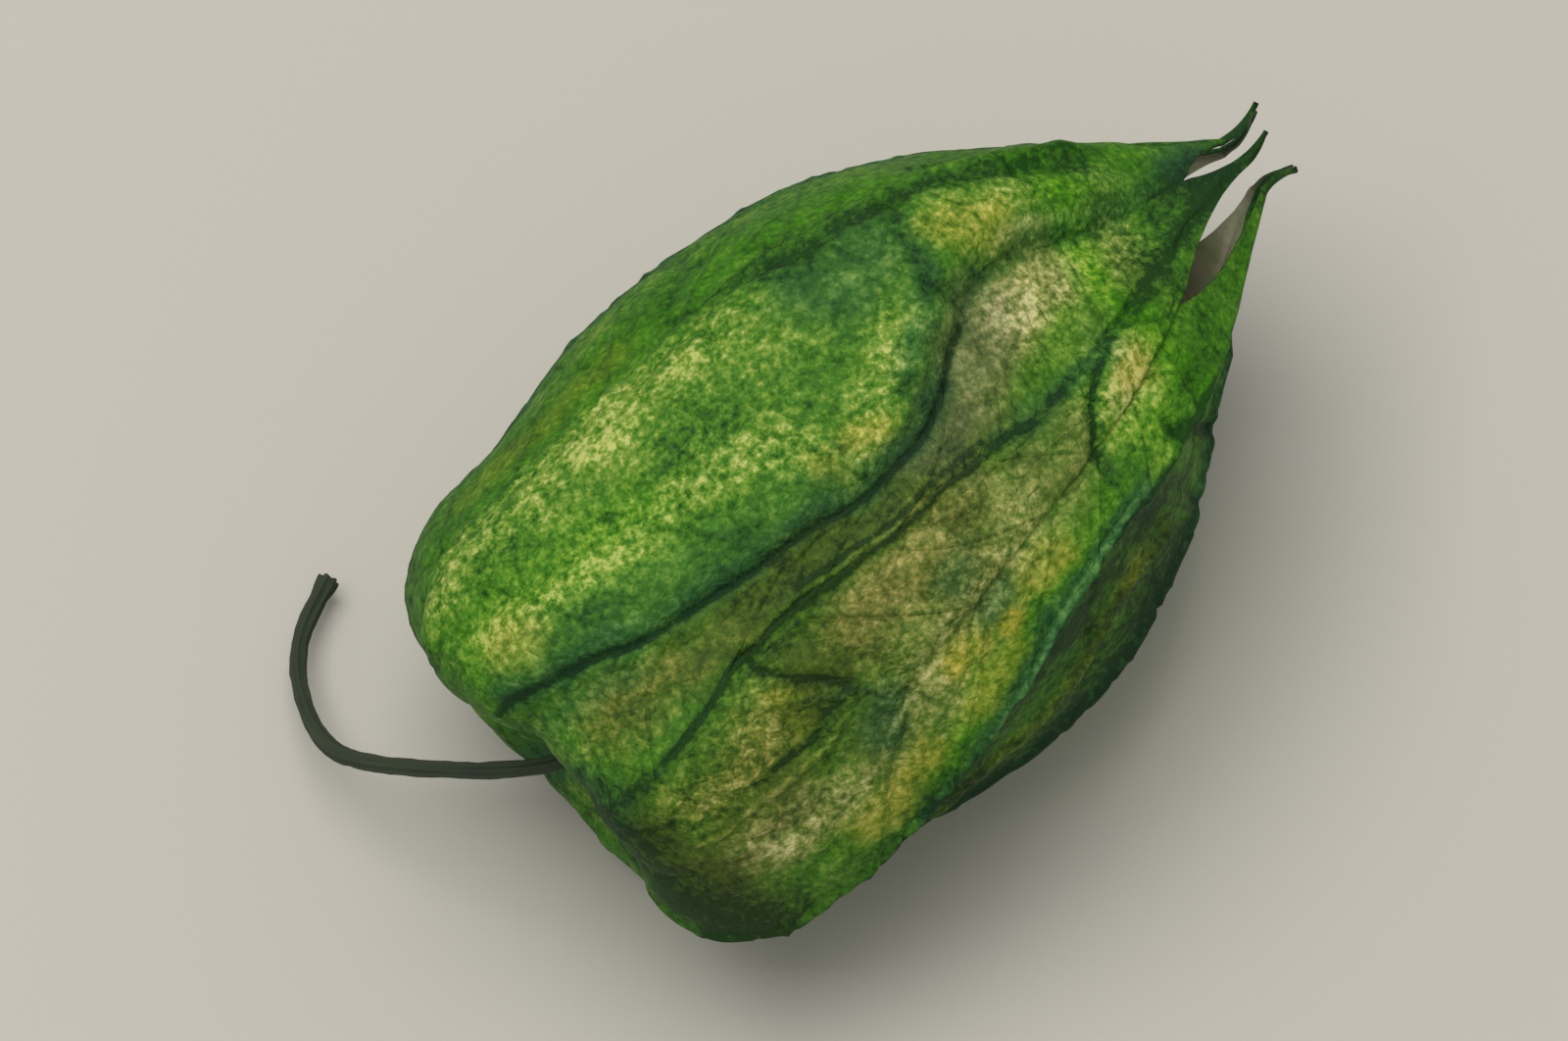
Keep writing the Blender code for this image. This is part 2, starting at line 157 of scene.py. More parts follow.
# Where the dye took differently: the kind, its strength, half width and course. The dark strokes are mostly
# painted shade with some dark dye, and the teal strokes are teal dye, darkened along creases with painted
# shade.
DYE = (
    ("pale", 0.45, 3.6 * MM, ((0.30, 0.270), (0.42, 0.360), (0.42, 0.450), (0.45, 0.520))),
    ("pale", 0.8, 2.3 * MM, ((0.20, 0.245), (0.22, 0.331), (0.19, 0.379), (0.19, 0.422), (0.19, 0.471),
                             (0.23, 0.525))),
    ("pale", 0.9, 1.9 * MM, ((0.61, 0.250), (0.61, 0.296), (0.58, 0.361), (0.56, 0.439), (0.61, 0.470),
                             (0.72, 0.501))),
    ("pale", 0.8, 1.5 * MM, ((0.70, 0.615), (0.76, 0.570), (0.83, 0.530))),
    ("yellow", 0.6, 1.0 * MM, ((0.85, 0.548), (0.83, 0.535))),
    ("yellow", 0.5, 1.0 * MM, ((0.81, 0.500), (0.83, 0.507))),
    ("yellow", 0.5, 1.3 * MM, ((0.67, 0.245), (0.72, 0.262))),
    ("yellow", 0.5, 1.3 * MM, ((0.62, 0.702), (0.72, 0.722), (0.80, 0.744))),
    ("pale", 0.6, 1.8 * MM, ((0.58, 0.700), (0.66, 0.76), (0.68, 0.81), (0.70, 0.86))),
    ("pale", 0.8, 1.0 * MM, ((0.06, 0.255), (0.04, 0.33), (0.02, 0.40), (0.06, 0.47), (0.12, 0.52))),
    ("bright", 1.0, 2.8 * MM, ((9.62, 0.28), (9.66, 0.381), (9.70, 0.462), (9.72, 0.55), (9.75, 0.63),
                               (9.80, 0.70))),
    ("yellow", 0.4, 1.5 * MM, ((9.64, 0.31), (9.67, 0.38), (9.70, 0.45))),
    ("bright", 0.9, 2.0 * MM, ((9.88, 0.76), (0.05, 0.82), (0.25, 0.88), (0.40, 0.92))),
    ("bright", 0.3, 2.2 * MM, ((0.72, 0.300), (0.74, 0.413), (0.80, 0.460))),
    ("bright", 0.6, 1.4 * MM, ((0.60, 0.215), (0.75, 0.205), (0.80, 0.25))),
    ("bright", 0.5, 1.6 * MM, ((0.45, 0.235), (0.50, 0.33), (0.50, 0.40))),
    ("deep", 0.55, 2.2 * MM, ((0.30, 0.580), (0.39, 0.600), (0.40, 0.635), (0.44, 0.655))),
    ("deep", 0.3, 1.8 * MM, ((0.78, 0.22), (0.84, 0.30), (0.83, 0.38), (0.86, 0.44), (0.92, 0.52))),
    ("deep", 0.75, 0.9 * MM, ((0.86, 0.200), (0.93, 0.261), (0.91, 0.332), (0.90, 0.388), (0.92, 0.435),
                              (0.94, 0.470), (0.96, 0.504), (0.98, 0.558), (0.98, 0.596), (1.00, 0.624))),
    ("deep", 0.35, 0.7 * MM, ((1.03, 0.624), (1.03, 0.664), *LOBE_EDGE_END)),
    ("deep", 0.5, 1.0 * MM, ((0.80, 0.60), (0.84, 0.64), (0.70, 0.665), (0.44, 0.675))),
    ("tan", 0.75, 2.8 * MM, ((1.48, 0.640), (1.45, 0.690), (1.45, 0.740), (1.45, 0.790), (1.50, 0.835))),
    ("pale", 0.8, 2.3 * MM, ((1.42, 0.720), (1.40, 0.770), (1.42, 0.820), (1.40, 0.870))),
    ("grey", 0.5, 2.0 * MM, ((1.25, 0.580), (1.30, 0.625), (1.25, 0.667), (1.22, 0.710))),
    ("tan", 0.8, 1.8 * MM, ((1.22, 0.630), (1.20, 0.680), (1.20, 0.730), (1.22, 0.79))),
    ("brown", 0.75, 2.0 * MM, ((1.30, 0.605), (1.30, 0.563), (1.30, 0.524), (1.28, 0.480), (1.30, 0.430),
                               (1.35, 0.390))),
    # Painted shade in the strip under the overhanging lobe, with some dark dye
    ("dark", 0.45, 1.2 * MM, ((1.55, 0.585), (1.50, 0.563), (1.45, 0.524), (1.50, 0.480), (1.55, 0.440))),
    ("brown", 0.8, 2.0 * MM, ((1.45, 0.397), (1.40, 0.355), (1.40, 0.302), (1.40, 0.25))),
    ("pale", 0.3, 2.0 * MM, ((1.40, 0.310), (1.40, 0.269), (1.40, 0.195))),
    ("deep", 0.35, 1.2 * MM, ((1.12, 0.300), (1.10, 0.24), (1.2, 0.17))),
    ("deep", 0.5, 0.8 * MM, ((2.00, 0.762), (2.00, 0.722), (2.02, 0.657), (1.92, 0.625))),
    ("bright", 0.5, 1.2 * MM, ((1.70, 0.80), (1.72, 0.74), (1.78, 0.68))),
    ("dark", 0.8, 1.7 * MM, ((1.75, 0.900), (1.80, 0.853), (1.70, 0.94), (1.40, 0.97))),
    ("deep", 0.8, 1.5 * MM, ((0.88, 0.97), (0.75, 0.94), (0.5, 0.96))),
    ("brown", 0.8, 3.0 * MM, ((2.08, 0.552), (2.19, 0.511), (2.28, 0.469), (2.28, 0.435), (2.35, 0.39),
                              (2.5, 0.34), (2.5, 0.29))),
    ("tan", 0.8, 2.4 * MM, ((2.10, 0.575), (2.22, 0.530), (2.33, 0.490), (2.40, 0.450))),
    ("pale", 0.4, 2.8 * MM, ((2.15, 0.560), (2.30, 0.500), (2.50, 0.460), (3.05, 0.459), (2.95, 0.520),
                             (2.81, 0.580))),
    ("tan", 0.7, 2.8 * MM, ((2.50, 0.620), (2.81, 0.561), (2.85, 0.509), (3.05, 0.459), (3.28, 0.400))),
    ("pale", 0.9, 1.7 * MM, ((2.25, 0.360), (2.38, 0.345), (2.42, 0.310), (2.35, 0.27))),
    ("yellow", 0.5, 0.8 * MM, ((2.25, 0.372), (2.42, 0.385), (2.55, 0.375))),
    ("tan", 0.8, 2.0 * MM, ((2.95, 0.33), (2.95, 0.303), (3.00, 0.26), (3.23, 0.36))),
    ("pale", 0.5, 1.6 * MM, ((2.95, 0.33), (2.98, 0.29), (3.20, 0.32), (3.30, 0.37))),
    ("pale", 0.8, 2.2 * MM, ((2.45, 0.720), (2.60, 0.770), (2.95, 0.765), (3.00, 0.725))),
    ("tan", 0.5, 1.6 * MM, ((2.60, 0.770), (2.90, 0.75))),
    ("yellow", 0.6, 1.2 * MM, ((2.72, 0.769), (2.65, 0.755))),
    ("yellow", 1.2, 1.0 * MM, ((3.39, 0.541), (3.37, 0.530))),
    ("yellow", 1.1, 1.0 * MM, ((3.23, 0.500), (3.22, 0.490))),
    ("yellow", 0.7, 1.3 * MM, ((3.55, 0.430), (3.61, 0.393), (3.58, 0.360))),
    ("yellow", 0.6, 1.0 * MM, ((3.33, 0.600), (3.32, 0.568))),
    ("yellow", 0.5, 1.2 * MM, ((3.60, 0.52), (3.66, 0.48))),
    ("pale", 0.3, 1.4 * MM, ((3.40, 0.58), (3.45, 0.52), (3.52, 0.46), (3.55, 0.40))),
    ("yellow", 0.7, 1.0 * MM, ((4.45, 0.655), (4.48, 0.64))),
    ("deep", 0.7, 1.3 * MM, ((3.23, 0.423), (3.10, 0.413), (2.95, 0.43))),
    ("deep", 0.5, 1.1 * MM, ((2.56, 0.530), (2.60, 0.52))),
    ("deep", 0.5, 0.9 * MM, ((3.08, 0.527), (3.12, 0.545))),
    # Painted shade at the base of the husk, with some dark dye
    ("dark", 0.95, 3.8 * MM, ((2.30, 0.150), (2.90, 0.160), (3.23, 0.160), (3.56, 0.194), (3.80, 0.230),
                              (4.2, 0.25))),
    ("brown", 0.7, 3.0 * MM, ((2.40, 0.220), (2.80, 0.220), (3.20, 0.215), (3.60, 0.24))),
    ("deep", 0.4, 1.6 * MM, ((1.61, 0.150), (1.92, 0.170), (2.2, 0.15))),
    ("bright", 0.55, 1.4 * MM, ((3.50, 0.66), (3.58, 0.618), (3.56, 0.580), (3.61, 0.541), (3.61, 0.508),
                                (3.70, 0.470), (3.72, 0.43))),
    ("tan", 0.6, 2.0 * MM, ((2.50, 0.67), (2.7, 0.66), (2.95, 0.64))),
    ("deep", 0.8, 0.8 * MM, ((3.84, 0.691), (3.88, 0.631), (3.86, 0.582), (3.88, 0.550), (3.94, 0.515),
                             (3.98, 0.475), (4.02, 0.447), (3.99, 0.400))),
    ("pale", 0.35, 1.0 * MM, ((4.50, 0.68), (4.48, 0.62), (4.58, 0.585), (4.62, 0.541), (4.54, 0.479))),
    ("brown", 0.7, 1.3 * MM, ((4.56, 0.700), (4.50, 0.617), (4.61, 0.585), (4.66, 0.541), (4.56, 0.479),
                              (4.50, 0.42))),
    # Painted shade on the side face past the third midrib, which faces away from the light, with some dark
    # dye
    ("dark", 0.9, 2.2 * MM, ((4.20, 0.70), (4.20, 0.645), (4.22, 0.58), (4.20, 0.502), (4.20, 0.43),
                             (4.2, 0.36))),
    ("dark", 0.9, 2.6 * MM, ((4.90, 0.70), (4.92, 0.62), (4.92, 0.56), (4.90, 0.50), (4.90, 0.42))),
    ("dark", 0.5, 3.0 * MM, ((4.50, 0.70), (4.50, 0.62), (4.50, 0.56), (4.50, 0.50), (4.50, 0.42))),
    ("bright", 0.6, 2.4 * MM, ((3.45, 0.74), (3.48, 0.82), (3.53, 0.894), (3.65, 0.935))),
    ("bright", 0.4, 2.4 * MM, ((4.2, 0.79), (4.4, 0.86), (4.3, 0.92))),
)
SEAM_OPENS = (0.6, 0.0, 0.2, 0.2, 0.4)  # share of a tooth's length at which each seam parts
AWN_HALF_WIDTH = 0.36 * MM
AWN_FORWARD = 2.0  # how much more an awn points along the husk than on from its tooth
AWN_ROLL = 0.5  # how far its edges roll in, as a share of its half width
TOOTH_TAPER = 1.4
DYE_KINDS = ("pale", "yellow", "bright", "deep", "tan", "grey", "brown", "dark")
BODY_ROWS, TOOTH_ROWS, AWN_ROWS = 160, 24, 12
COLUMNS = (36, 24, 22, 22, 24, 18, 18, 18, 18, 22)
DYE_STRAYS = 0.7 * MM  # how far the edge of a dye stroke wanders
FOLDS_STRAY = 0.35  # a fold or a line wanders by this share of that


def smooth(values, share):
    """A smooth curve through evenly spaced numbers or points, at shares from 0 to 1 of its run."""
    place = np.clip(share, 0, 1) * (len(values) - 1)
    k = np.minimum(place.astype(int), len(values) - 2)
    t = (place - k)[..., None]
    before, here, there = values[np.maximum(k - 1, 0)], values[k], values[k + 1]
    after = values[np.minimum(k + 2, len(values) - 1)]
    bend = 2 * before - 5 * here + 4 * there - after
    twist = 3 * here - before - 3 * there + after
    return here + ((there - before) * t + bend * t ** 2 + twist * t ** 3) / 2


def unit(vectors):
    return vectors / np.linalg.norm(vectors, axis=-1, keepdims=True)


def outward(share):
    """The direction out of the outline: its parts along the axis and along the radius."""
    step = 0.004
    run = smooth(OUTLINE, share + step) - smooth(OUTLINE, share - step)
    return unit(np.stack((-run[..., 1], run[..., 0]), -1))


def relief_share(share):
    """How much relief there is: less over the shoulders, and less where the husk narrows to its teeth."""
    narrow = smooth(OUTLINE, share)[..., 1] / (0.5 * HUSK_RADIUS)
    return np.minimum(1, 0.35 + share / SHOULDERS_TO) * np.minimum(1, narrow)


def rib_points(rib, share):
    """Where a rib runs, without its vein: the lantern's corner at these shares of the outline."""
    rib = rib % len(RIBS)
    along, radius = np.moveaxis(smooth(OUTLINE, share), -1, 0)
    out = outward(share) * (RIB_LEVELS[rib] * relief_share(share) ** 2)[..., None]
    angle = smooth(RIB_ANGLES, along / HUSK_LENGTH)
    angle = np.take_along_axis(angle, rib[..., None], -1)[..., 0]
    radius = radius + out[..., 1]
    return np.stack((along + out[..., 0], -radius * np.sin(angle), HEIGHT_SHARE * radius * np.cos(angle)), -1)


def ridge(distance, half_width):
    """A rounded ridge of height 1, by the distance from its line."""
    return np.maximum(0, 1 - (distance / half_width) ** 2) ** 2


def wander(points, size, start=0.0):
    """Smooth noise from -1 to 1 at each point, with hills of that size."""
    flat = points.reshape(-1, points.shape[-1]) / size + start
    return np.array([noise.noise(Vector(point)) for point in flat]).reshape(points.shape[:-1])


def off_course(points, course):
    """How far each point is from a course drawn on the husk."""
    round_husk, share = np.array([place for k in range(len(course) - 1) for place in
                                  np.linspace(course[k], course[k + 1], 6)]).T
    panel = np.floor(round_husk).astype(int)
    start, end = rib_points(panel, share), rib_points(panel + 1, share)
    line = start + (end - start) * (round_husk - panel)[:, None]
    flat = points.reshape(-1, 3)
    nearest = np.full(len(flat), 1.0)
    for a, b in zip(line, line[1:]):
        run = b - a
        t = np.clip((flat - a) @ run / max(run @ run, 1e-18), 0, 1)
        nearest = np.minimum(nearest, np.linalg.norm(flat - a - t[:, None] * run, axis=-1))
    return nearest.reshape(points.shape[:-1])


def sheet(share, up, panel, across):
    """A patch of the outer face, from one rib at across 0 to the next at 1, with what its finish reads."""
    start, end = rib_points(panel, share), rib_points(panel + 1, share)
    flat = start + (end - start) * across[..., None]
    wide = np.linalg.norm(end - start, axis=-1)
    fade = relief_share(share)
    following = (panel + 1) % len(RIBS)
    from_midrib = np.where(panel % 2 == 0, across, 1 - across)
    inner = np.clip(4 * up * (1 - up), 0, 1)

    # The side veins wander and fork on their way to the seam
    veins = up * SIDE_VEINS + SIDE_VEIN_WANDER * wander(flat, 8 * MM, 11)
    off_vein = np.abs(veins - np.round(veins))
    side_vein = ridge(off_vein * SIDE_VEIN_SPACING, SIDE_VEIN_HALF_WIDTH) * (1 - 0.5 * from_midrib)

    height = BULGES[panel] * (1 - (2 * across - 1) ** 4) * fade ** 3
    height += VEIN_HEIGHTS[panel] * fade ** 2 * ridge(across * wide, VEIN_HALF_WIDTH)
    height += VEIN_HEIGHTS[following] * fade ** 2 * ridge((1 - across) * wide, VEIN_HALF_WIDTH)
    height += SIDE_VEIN_HEIGHT * side_vein * inner * fade
    height += QUILT * np.sin(math.pi * off_vein) * inner * (1 - (2 * across - 1) ** 4) * fade
    for depth, size in CRUMPLE:
        height += depth * wander(flat, size) * fade
    # The fold mask darkens the creases and folds: partly dye gathered there, partly painted crease shade
    fold = np.zeros(share.shape)
    for depth, size, sharpness in CREASES:
        crease = np.maximum(0, 1 - np.abs(wander(flat, size, 31)) / sharpness) ** 2
        height -= depth * crease * fade
        fold = np.maximum(fold, CREASE_DYE_AND_SHADE * crease * depth / CREASES[0][0])
    strayed = flat + DYE_STRAYS * np.stack([wander(flat, 2.2 * MM, start) for start in (3, 5, 7)], -1)
    strayed_less = flat + (strayed - flat) * FOLDS_STRAY
    for depth, half_width, dark, course in FOLDS:
        near = off_course(strayed_less, course)
        height -= depth * ridge(near, half_width) * fade
        fold = np.maximum(fold, dark * ridge(near, 1.25 * half_width))
    line_mm = np.minimum.reduce([off_course(strayed_less, course) for course in LINES]) / MM
    highlight_line_mm = np.minimum.reduce([off_course(strayed_less, course) for course in HIGHLIGHT_LINES]) / MM
    dye = {kind: np.zeros(share.shape) for kind in DYE_KINDS}
    for kind, strength, half_width, course in DYE:
        dye[kind] = np.maximum(dye[kind], strength * ridge(off_course(strayed, course), 1.5 * half_width))

    out = outward(share)
    radial = np.stack((np.zeros(share.shape), flat[..., 1], flat[..., 2]), -1)
    points = flat + height[..., None] * (out[..., :1] * np.array((1.0, 0, 0)) + out[..., 1:] * unit(radial))
    seam_mm = np.where(panel % 2 == 0, 1 - across, across) * wide / MM
    return {"points": points, "u": panel + across, "wide": wide / MM, "veins": veins, "share": share,
            "fold": fold * np.minimum(1, 2 * fade), "seam": seam_mm,
            "line": np.minimum(line_mm, 3), "pale_line": np.minimum(highlight_line_mm, 3), **dye}


def grid(share, up, panel, across):
    """The same four numbers for each point of a grid."""
    share, up, panel, across = np.broadcast_arrays(share, up, panel, across)
    return sheet(share.astype(float), up.astype(float), panel.astype(int), across.astype(float))


def tooth_side(rib, seam, t, opens):
    """How much of a half sepal is left in its tooth, as a share of the way from the midrib to the seam."""
    share = TEETH_FROM + (1 - TEETH_FROM) * t
    from_rib = rib_points(np.full(t.shape, seam), share) - rib_points(np.full(t.shape, rib), share)
    whole = np.linalg.norm(from_rib, axis=-1)
    left = np.clip((1 - t) / (1 - opens), 0, 1) ** TOOTH_TAPER
    return np.where(t <= opens, 1.0, (AWN_HALF_WIDTH + (whole - AWN_HALF_WIDTH) * left) / whole)


def awn(tooth, sides):
    """The thin dry end of a tooth's midrib, rolled in at its edges."""
    length, curl_out, curl_aside = AWNS[tooth]
    ends = grid(np.array((0.96, 1.0)), 1.2, 2 * tooth, 0.0)["points"]
    root = ends[1]
    run = unit(unit(root - ends[0]) + (AWN_FORWARD, 0, 0))
    radial = unit(np.array((0, root[1], root[2])))
    aside = unit(np.cross(run, radial))
    done = (np.arange(AWN_ROWS + 1) / AWN_ROWS)[:, None, None]
    half = AWN_HALF_WIDTH * (1 - 0.65 * done ** 1.5)
    rolled = AWN_ROLL * half * sides[None, :, None] ** 2 * np.minimum(1, 3 * done)
    points = root + run * length * done + (radial * curl_out + aside * curl_aside) * done ** 2
    return points + aside * half * sides[None, :, None] - radial * rolled


def columns_across(panel):
    """Shares of the way across a panel, closer together near the ribs."""
    even = np.arange(COLUMNS[panel] + 1) / COLUMNS[panel]
    return even - 0.06 * np.sin(2 * math.pi * even)


patches = []
for panel in range(len(RIBS)):
    across = columns_across(panel)
    up = (np.arange(BODY_ROWS + 1) / BODY_ROWS)[:, None]
    from_midrib = across if panel % 2 == 0 else 1 - across
    climb = SIDE_VEIN_CLIMB * from_midrib * 4 * up * (1 - up)
    patches.append(grid(TEETH_FROM * up + climb, up, panel, across))
for tooth in range(len(AWNS)):
    t = (np.arange(TOOTH_ROWS + 1) / TOOTH_ROWS)[:, None]
    share = TEETH_FROM + (1 - TEETH_FROM) * t
    for seam, panel in ((2 * tooth - 1, (2 * tooth - 1) % len(RIBS)), (2 * tooth + 1, 2 * tooth)):
        across = columns_across(panel)
        side = tooth_side(2 * tooth, seam, t, SEAM_OPENS[tooth if seam > 2 * tooth else tooth - 1])
        columns = across * side if seam > 2 * tooth else 1 - side * (1 - across)
        tooth_patch = grid(share, share / TEETH_FROM, panel, columns)
        patches.append(tooth_patch)
        sides = across if seam > 2 * tooth else across - 1
        last = {name: np.repeat(values[-1:], AWN_ROWS + 1, 0) for name, values in tooth_patch.items()}
        points = awn(tooth, sides)
        blend = np.minimum(1, np.arange(AWN_ROWS + 1) / 3)[:, None, None]
        last["points"] = last["points"] + (points - points[:1]) * blend
        last["share"] = last["share"] + 0.02 * np.arange(AWN_ROWS + 1)[:, None]
        patches.append(last)


def sheet_mesh(name, patches):
    """One mesh of all the patches, welded where they meet, leant back and laid down on its side."""
    verts, faces, u, v = [], [], [], []
    extras = {key: [] for key in ("wide", "veins", "fold", "seam", "line", "pale_line", *DYE_KINDS)}
    for patch in patches:
        rows, columns = patch["u"].shape
        first = sum(len(group) for group in verts)
        verts.append(patch["points"].reshape(-1, 3))
        index = first + np.arange(rows * columns).reshape(rows, columns)
        corners = np.stack((index[:-1, :-1], index[:-1, 1:], index[1:, 1:], index[1:, :-1]), -1)
        faces.append(corners.reshape(-1, 4))
        u.append(patch["u"].ravel())
        v.append(patch["share"].ravel())
        for key, values in extras.items():
            values.append(patch[key].ravel())
    faces = np.concatenate(faces)
    mesh = bpy.data.meshes.new(name)
    mesh.from_pydata(np.concatenate(verts).tolist(), [], faces.tolist())
    corners = np.stack((np.concatenate(u), np.concatenate(v)), -1)[faces.ravel()]
    mesh.uv_layers.new(name="panels").data.foreach_set("uv", corners.astype(np.float32).ravel())
    for key, values in extras.items():
        attribute = mesh.attributes.new(key, "FLOAT", "POINT")
        attribute.data.foreach_set("value", np.concatenate(values).astype(np.float32))
    work = bmesh.new()
    work.from_mesh(mesh)
    bmesh.ops.remove_doubles(work, verts=work.verts[:], dist=1e-7)
    for vert in work.verts:
        lean = LEAN * vert.co.z * max(0.0, 1 - vert.co.x / LEAN_REACH)
        vert.co = HUSK_TURN @ (vert.co - Vector((lean, 0, 0))) + SHOULDERS
        vert.co.z = max(vert.co.z, 0.0)  # the underside is pressed flat where the husk lies
    work.to_mesh(mesh)
    work.free()
    mesh.shade_smooth()
    return mesh


class Number:
    """A number that varies over a surface. Arithmetic on it adds Math nodes to its finish."""

    def __init__(self, finish, socket):
        self.finish = finish
        self.socket = socket

    def maths(self, operation, *values):
        node = self.finish.node("ShaderNodeMath", {"operation": operation}, dict(enumerate(values)))
        return Number(self.finish, node.outputs[0])

    def __add__(self, other):
        return self.maths("ADD", self, other)

    def __sub__(self, other):
        return self.maths("SUBTRACT", self, other)

    def __rsub__(self, other):
        return self.maths("SUBTRACT", other, self)

    def __mul__(self, other):
        return self.maths("MULTIPLY", self, other)

    __radd__ = __add__
    __rmul__ = __mul__

    def at_least(self, other):
        """The greater of the two."""
        return self.maths("MAXIMUM", self, other)

    def fold_at(self, half):
        """Goes up to half and down again to 0, over and over."""
        return self.maths("PINGPONG", self, half)

    def rise(self, low, high):
        """0 up to low, 1 from high on, and smooth between."""
        settings = {"interpolation_type": "SMOOTHSTEP", "clamp": True}
        inputs = {"Value": self, "From Min": low, "From Max": high}
        node = self.finish.node("ShaderNodeMapRange", settings, inputs)
        return Number(self.finish, node.outputs[0])


class Finish:
    """A material built of nodes."""

    def __init__(self, name):
        self.material = bpy.data.materials.new(name)
        self.material.use_nodes = True
        self.tree = self.material.node_tree
        self.tree.nodes.clear()
        self.position = self.node("ShaderNodeTexCoord").outputs["Object"]

    def node(self, kind, settings=(), inputs=()):
        """A node with its settings, then the values or links of its sockets."""
        node = self.tree.nodes.new(kind)
        for key, value in dict(settings).items():
            if key == "stops":
                ramp = node.color_ramp.elements
                while len(ramp) < len(value):
                    ramp.new(1.0)
                for stop, (place, colour) in zip(ramp, value):
                    stop.position = place
                    stop.color = (*colour, 1.0)
            else:
                setattr(node, key, value)
        for key, value in dict(inputs).items():
            value = value.socket if isinstance(value, Number) else value
            if isinstance(value, bpy.types.NodeSocket):
                self.tree.links.new(value, node.inputs[key])
            else:
                node.inputs[key].default_value = value
        return node

    def attribute(self, name):
        return Number(self, self.node("ShaderNodeAttribute", {"attribute_name": name}).outputs["Fac"])

    def noise(self, size, detail=3.0, roughness=0.5, at=None):
        inputs = {"Vector": at or self.position, "Scale": 1 / size, "Detail": detail, "Roughness": roughness}
        return Number(self, self.node("ShaderNodeTexNoise", {}, inputs).outputs["Fac"])

    def vector_maths(self, operation, inputs):
        return self.node("ShaderNodeVectorMath", {"operation": operation}, inputs).outputs[0]

    def warped(self, size, amount):
        """The position, moved about by noise."""
        inputs = {"Vector": self.position, "Scale": 1 / size, "Detail": 2.0}
        shift = self.node("ShaderNodeTexNoise", {}, inputs).outputs["Color"]
        centred = self.vector_maths("SUBTRACT", {0: shift, 1: (0.5, 0.5, 0.5)})
        scaled = self.vector_maths("SCALE", {0: centred, "Scale": amount})
        return self.vector_maths("ADD", {0: self.position, 1: scaled})

    def cell_edges(self, size, at):
        """The distance from the edges of a net of cells, as a share of their size."""
        settings = {"feature": "DISTANCE_TO_EDGE"}
        node = self.node("ShaderNodeTexVoronoi", settings, {"Vector": at, "Scale": 1 / size})
        return Number(self, node.outputs["Distance"])

    def panel_places(self):
        """Where each point is on the husk: round it in panels, and along it in shares of the outline."""
        places = self.node("ShaderNodeUVMap", {"uv_map": "panels"}).outputs[0]
        parts = self.node("ShaderNodeSeparateXYZ", {}, {0: places})
        return Number(self, parts.outputs["X"]), Number(self, parts.outputs["Y"])

    def mix(self, factor, one, other):
        """From one colour to another."""
        node = self.node("ShaderNodeMix", {"data_type": "RGBA"}, {0: factor, 6: one, 7: other})
        return node.outputs[2]

    def bump(self, height, depth):
        inputs = {"Height": height, "Distance": depth, "Strength": 1.0}
        return self.node("ShaderNodeBump", {}, inputs).outputs[0]

    def surface(self, **inputs):
        named = {key.replace("_", " "): value for key, value in inputs.items()}
        shader = self.node("ShaderNodeBsdfPrincipled", {}, named)
        self.node("ShaderNodeOutputMaterial", {}, {"Surface": shader.outputs[0]})
        return self.material


paper = Finish("dyed_husk_paper")
round_husk, along_husk = paper.panel_places()
pale, yellow, bright, deep, tan, grey, brown, dark = (paper.attribute(kind) for kind in DYE_KINDS)
fold = paper.attribute("fold")
rib_mm = round_husk.fold_at(0.5) * paper.attribute("wide")
side_mm = paper.attribute("veins").fold_at(0.5) * (SIDE_VEIN_SPACING / MM)
seam_mm = paper.attribute("seam")
net_at = paper.warped(1.2 * MM, 0.5 * MM)
net = paper.cell_edges(1.5 * MM, net_at)
fine_net = paper.cell_edges(0.55 * MM, net_at)
rib_line = 1 - rib_mm.rise(0.05, 0.45)
side_line = 1 - side_mm.rise(0.05, 0.28)
net_line = 1 - net.rise(0.02, 0.12)
fine_line = 1 - fine_net.rise(0.02, 0.20)
clouds = paper.noise(7 * MM, 3.0, 0.55)
patches_of_dye = paper.noise(3.2 * MM, 3.0, 0.6)
mottle = paper.noise(1.3 * MM, 4.0, 0.6)
grain = paper.noise(0.46 * MM, 2.5, 0.65)

# On the sides that the camera doesn't see, the colour follows the relief: pale dye on the swells, and teal
# darkened along the sunken seams, which is teal dye with painted seam shade. On the sides that the
# photograph doesn't show, the dye follows the relief: pale on the swells, and deep along the seams
unseen = round_husk.rise(4.7, 5.0) * (1 - round_husk.rise(9.3, 9.5))
at_seam = 1 - seam_mm.rise(0.3, 3.2)
swell = seam_mm.rise(2.5, 6.0) * rib_mm.rise(0.8, 3.0)
pale = pale.at_least(unseen * swell * clouds.rise(0.42, 0.60))
bright = bright.at_least(unseen * (1 - rib_mm.rise(0.5, 3.5)) * patches_of_dye.rise(0.40, 0.62))
deep = deep.at_least(unseen * at_seam * 0.8)
brown = brown.at_least(unseen * swell * (1 - clouds.rise(0.36, 0.46)))

# How dark the colour is: the dye lies thin on the pale patches and thick along the veins and on the awns, and
# the folds are darker with dye and painted crease shade. On top of the dye this carries painted shade in the
# dark strokes and the thin dark lines, and painted highlights on the ridge crests.
shade = 0.60 + 0.35 * along_husk.rise(0.96, 1.04) - 0.34 * pale + 0.38 * dark - 0.10 * yellow - 0.12 * tan
shade = shade + 0.55 * (clouds - 0.5) + 0.55 * (patches_of_dye - 0.5) + 0.55 * (mottle - 0.5)
shade = shade + (0.95 + 1.2 * pale) * (grain - 0.5)
shade = shade + 0.10 * side_line + 0.04 * net_line + 0.07 * fine_line + 0.55 * fold + 0.06 * rib_line
